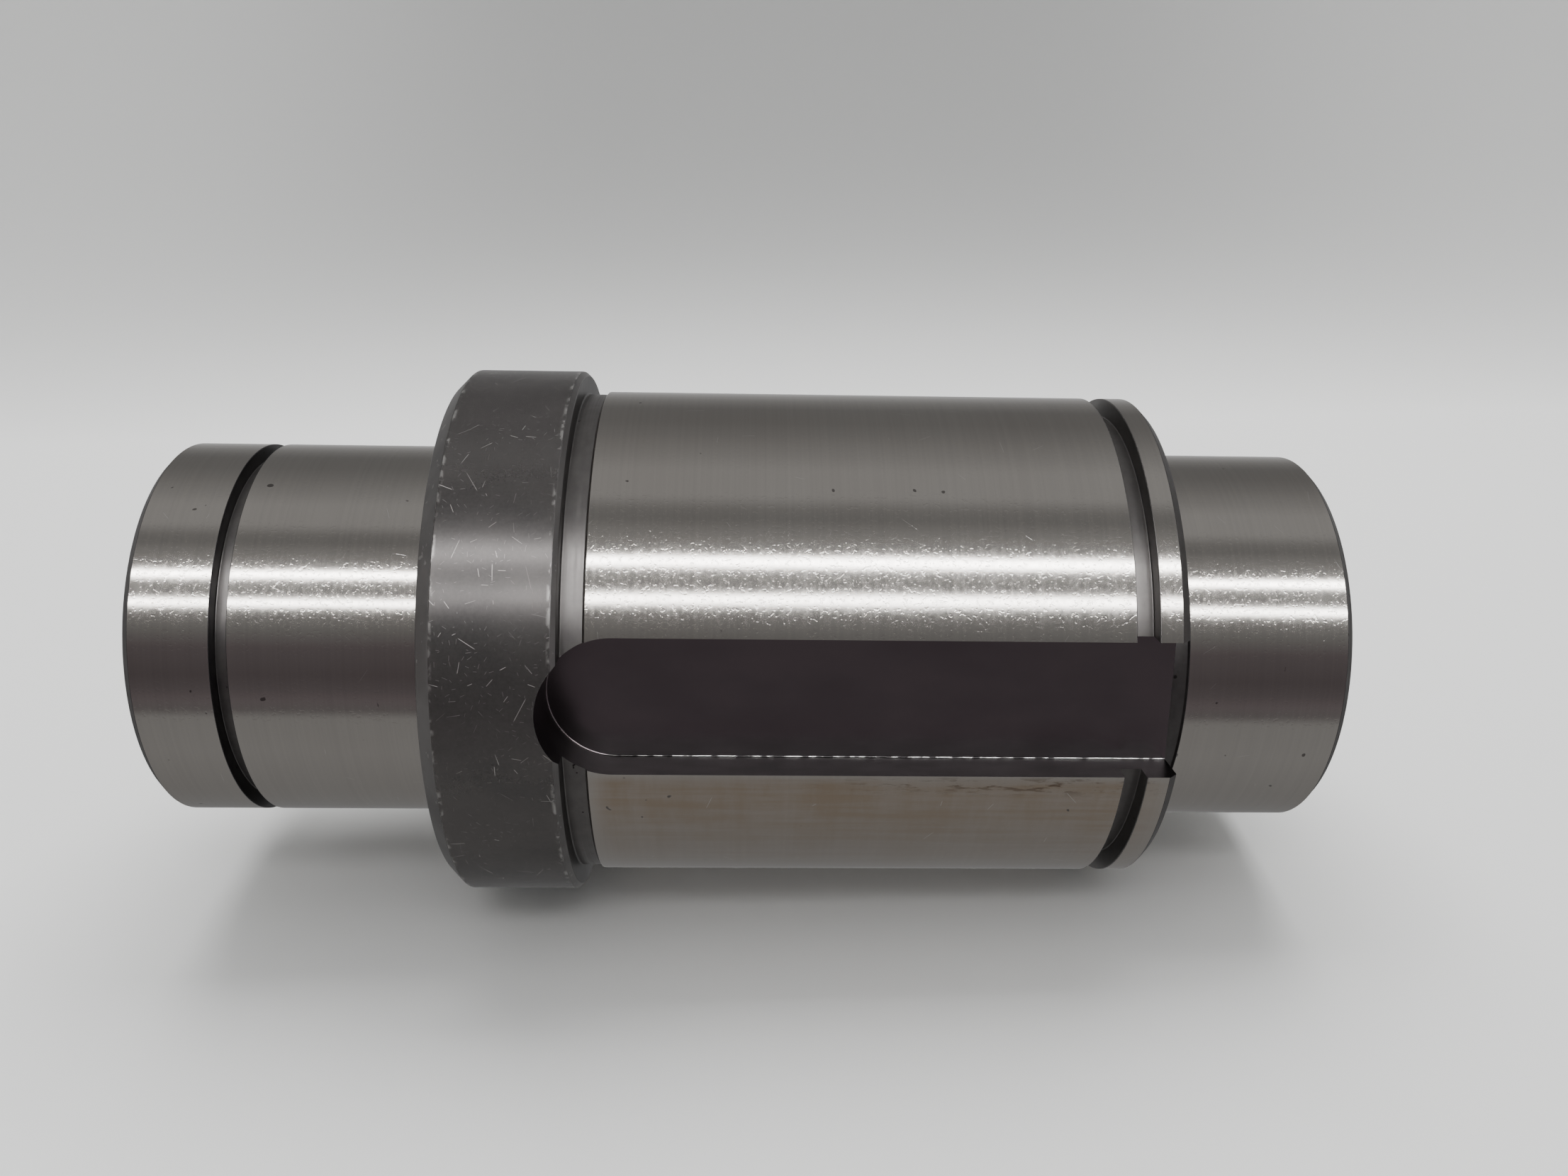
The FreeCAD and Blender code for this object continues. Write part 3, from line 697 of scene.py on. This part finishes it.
def tent_rows():
    """The glow round the shaft axis, in steps of a few degrees: (degrees, strength, tint).

    Degrees are above the horizon on the keyway side, and tint is how far the glow is blushed.
    """
    longest_step = 5
    stops = [
        (-180, 0.5, 0), (-165, 0.3, 0), (-140, 0.2, 0), (-100, 0.23, 0), (-65, 0.27, 0), (-40, 0.26, 0),
        (-35, 0.145, 0.5), (-29, 0.155, 1), (-22, 0.12, 1), (-13, 0.1, 1), (4, 0.125, 1),
        (14, 0.19, 0), (20, 0.25, 0), (24.5, 0.32, 0), (26.5, 0.8, 0), (28, 5, 0), (29.5, 14, 0),
        (31.2, 14, 0), (32.7, 3.4, 0), (34.2, 0.7, 0), (36, 0.36, 0), (42, 0.5, 0), (43.5, 0.8, 0),
        (45, 5, 0), (46.5, 18, 0), (48.3, 18, 0), (49.7, 5, 0), (50.9, 1.1, 0), (52.2, 0.42, 0),
        (60, 0.3, 0), (68, 0.2, 0), (73, 0.22, 0), (80, 0.35, 0), (95, 0.35, 0), (104, 0.29, 0),
        (118, 0.22, 0), (130, 0.18, 0), (145, 0.17, 0), (158, 0.24, 0), (170, 0.35, 0), (180, 0.5, 0),
    ]
    rows = []
    for (start, first, tinted), (stop, last, also) in zip(stops, stops[1:]):
        steps = math.ceil((stop - start) / longest_step)
        for step in range(steps):
            share = step / steps
            rows.append((start + (stop - start) * share,
                         first + (last - first) * share,
                         tinted + (also - tinted) * share))
    return rows


def tent_material():
    """Plain emission of the colour that is stored on the tent's vertices."""
    material = bpy.data.materials.new("tent")
    material.use_nodes = True
    nodes = material.node_tree.nodes
    nodes.clear()
    strength = nodes.new("ShaderNodeAttribute")
    strength.attribute_name = "glow"
    emission = nodes.new("ShaderNodeEmission")
    output = nodes.new("ShaderNodeOutputMaterial")
    material.node_tree.links.new(strength.outputs["Color"], emission.inputs["Color"])
    material.node_tree.links.new(emission.outputs[0], output.inputs[0])
    return material


def reflection_tent():
    """A tent round the shaft axis that the steel mirrors: table, dusk, two lamps and ceiling.

    Past the ends of the lamps the tent is dim where they hang, and its two ends are evenly grey.
    """
    radius, lamp_end, past_lamps, end = 2.0, 1.4, 1.7, 6
    below_lamps, above_lamps = 20, 60
    dim, end_grey = 0.12, 0.4
    blush_green, blush_blue = 0.12, 0.06
    columns = [-end, -past_lamps, -lamp_end, lamp_end, past_lamps, end]
    vertices, glow = [], []
    for degrees, strength, tint in tent_rows():
        angle = math.radians(degrees)
        for x in columns:
            level = strength
            if abs(x) == end:
                level = end_grey
            elif abs(x) == past_lamps and below_lamps < degrees <= above_lamps:
                level = dim
            vertices.append((x, -radius * math.cos(angle), radius * math.sin(angle)))
            glow.append((level, level * (1 - blush_green * tint), level * (1 - blush_blue * tint), 1))
    count, width = len(vertices), len(columns)
    faces = []
    for row in range(0, count, width):
        for place in range(row, row + width - 1):
            faces.append((place, place + 1, (place + width + 1) % count, (place + width) % count))
    faces += [tuple(range(0, count, width)), tuple(range(width - 1, count, width))]
    tent = new_object("tent", vertices, faces, [tent_material()])
    attribute = tent.data.color_attributes.new("glow", "FLOAT_COLOR", "POINT")
    for place, color in enumerate(glow):
        attribute.data[place].color = color
    tent.visible_camera = False
    tent.visible_diffuse = False
    tent.visible_shadow = False
    tent.visible_transmission = False


def table_attitude():
    """The pitch, attitude and height of a table that touches the flange's heel and the right rim.

    It is also rolled, so that seen from the table the keyway looks up a little.
    """
    roll = math.radians(8)
    rim = Vector((from_left(BODY_END_MM - RIM_CHAMFER_MM), BODY_MM * MM))
    heel = Vector((from_left(FLANGE_END_MM - FLANGE_EDGE_MM), FLANGE_RADIUS))
    pitch = math.atan2(heel.y - rim.y, rim.x - heel.x)
    attitude = Euler((roll, 0, 0)).to_matrix() @ Euler((0, -pitch, 0)).to_matrix()
    height = -heel.y * math.cos(pitch) - heel.x * math.sin(pitch)
    return pitch, attitude, height


def cove_profile(floor):
    """Half section of the table top and the wall that it sweeps up into: (radius, height)."""
    flat, bend, top, steps = 0.42, 0.3, 1.2, 16
    profile = [(0.0, floor), (flat / 2, floor), (flat, floor)]
    for step in range(1, steps + 1):
        angle = math.radians(90 * step / steps)
        profile.append((flat + bend * math.sin(angle), floor + bend * (1 - math.cos(angle))))
    profile.append((flat + bend, floor + top))
    return profile


def backdrop_paint_and_shade(pitch):
    """Matt pale paint with painted shade: it turns grey with height above the table, most in the middle.
    """
    pale, black = (0.8, 0.8, 0.79), (0.0, 0.0, 0.0)
    centre, near, far = 30 * MM, 50 * MM, 500 * MM
    fade_start, half_fade = -5 * MM, 24 * MM
    least_fade, most_fade = 0.5, 0.67
    shader = Shader("backdrop", pale, 0.0, 0.9)
    x, _, z = shader.parts()
    aside = shader.math("ABSOLUTE", shader.math("SUBTRACT", x, centre))
    middle = shader.ramp(aside, near, far, 1.0, 0.0)
    rise = shader.math("SUBTRACT", z, shader.times(x, math.tan(pitch)))
    climb = shader.math("DIVIDE", shader.math("SUBTRACT", rise, fade_start), half_fade)
    left = shader.math("POWER", 0.5, shader.math("MAXIMUM", climb, 0.0))
    # painted shade: grey that grows with height above the table, most in the middle
    fade = shader.times(shader.math("SUBTRACT", 1.0, left),
                        shader.ramp(middle, 0.0, 1.0, least_fade, most_fade))
    shader.color(shader.mix(fade, pale, black))
    return shader.material


def backdrop():
    """A pale round table that sweeps up into a wall all round the object."""
    around = 96
    pitch, attitude, floor = table_attitude()
    profile = cove_profile(floor)
    vertices = []
    for place in range(around):
        angle = 2 * math.pi * place / around
        for radius, height in profile:
            point = Vector((radius * math.cos(angle), radius * math.sin(angle), height))
            vertices.append(attitude @ point)
    count = len(profile)
    faces = []
    for place in range(around):
        following = (place + 1) % around
        for level in range(count - 1):
            faces.append((place * count + level, following * count + level,
                          following * count + level + 1, place * count + level + 1))
    table = new_object("backdrop", vertices, faces, [backdrop_paint_and_shade(pitch)])
    for face in table.data.polygons:
        face.use_smooth = True
    table.visible_glossy = False


def area_light(name, position, size, power):
    """A soft rectangular lamp that points at the middle of the object and has no reflection."""
    data = bpy.data.lights.new(name, "AREA")
    data.shape = "RECTANGLE"
    data.size, data.size_y = size
    data.energy = power
    lamp = bpy.data.objects.new(name, data)
    lamp.location = position
    lamp.rotation_euler = (-Vector(position)).to_track_quat("-Z", "Y").to_euler()
    lamp.visible_camera = False
    lamp.visible_glossy = False
    bpy.context.scene.collection.objects.link(lamp)


def studio_light():
    """Soft light from above and a little behind, a weak strip in front, and a pale surround."""
    area_light("overhead", (0.0, 0.3, 0.95), (0.9, 0.8), 16)
    area_light("front_lamp", (0.0, -0.75, 0.65), (1.2, 0.2), 3.5)
    world = bpy.data.worlds.new("studio")
    world.use_nodes = True
    background = world.node_tree.nodes["Background"]
    background.inputs["Color"].default_value = (0.95, 0.97, 1.0, 1)
    background.inputs["Strength"].default_value = 1.2
    bpy.context.scene.world = world


def camera():
    """Nearly square on to the sleeve, above it and looking down at the keyway side."""
    distance, aside = 0.2401, -0.15 * MM
    rise = math.radians(17.04)
    tilt, roll, yaw = math.radians(74.78), math.radians(-0.98), math.radians(-1.48)
    data = bpy.data.cameras.new("camera")
    data.lens = 30.21
    data.sensor_width = 36
    data.clip_start = 0.01
    eye = bpy.data.objects.new("camera", data)
    eye.location = (aside, -distance * math.cos(rise), distance * math.sin(rise))
    eye.rotation_euler = Euler((tilt, roll, yaw))
    bpy.context.scene.collection.objects.link(eye)
    bpy.context.scene.camera = eye


make_sleeve()
dress_frame()
reflection_tent()
backdrop()
studio_light()
camera()
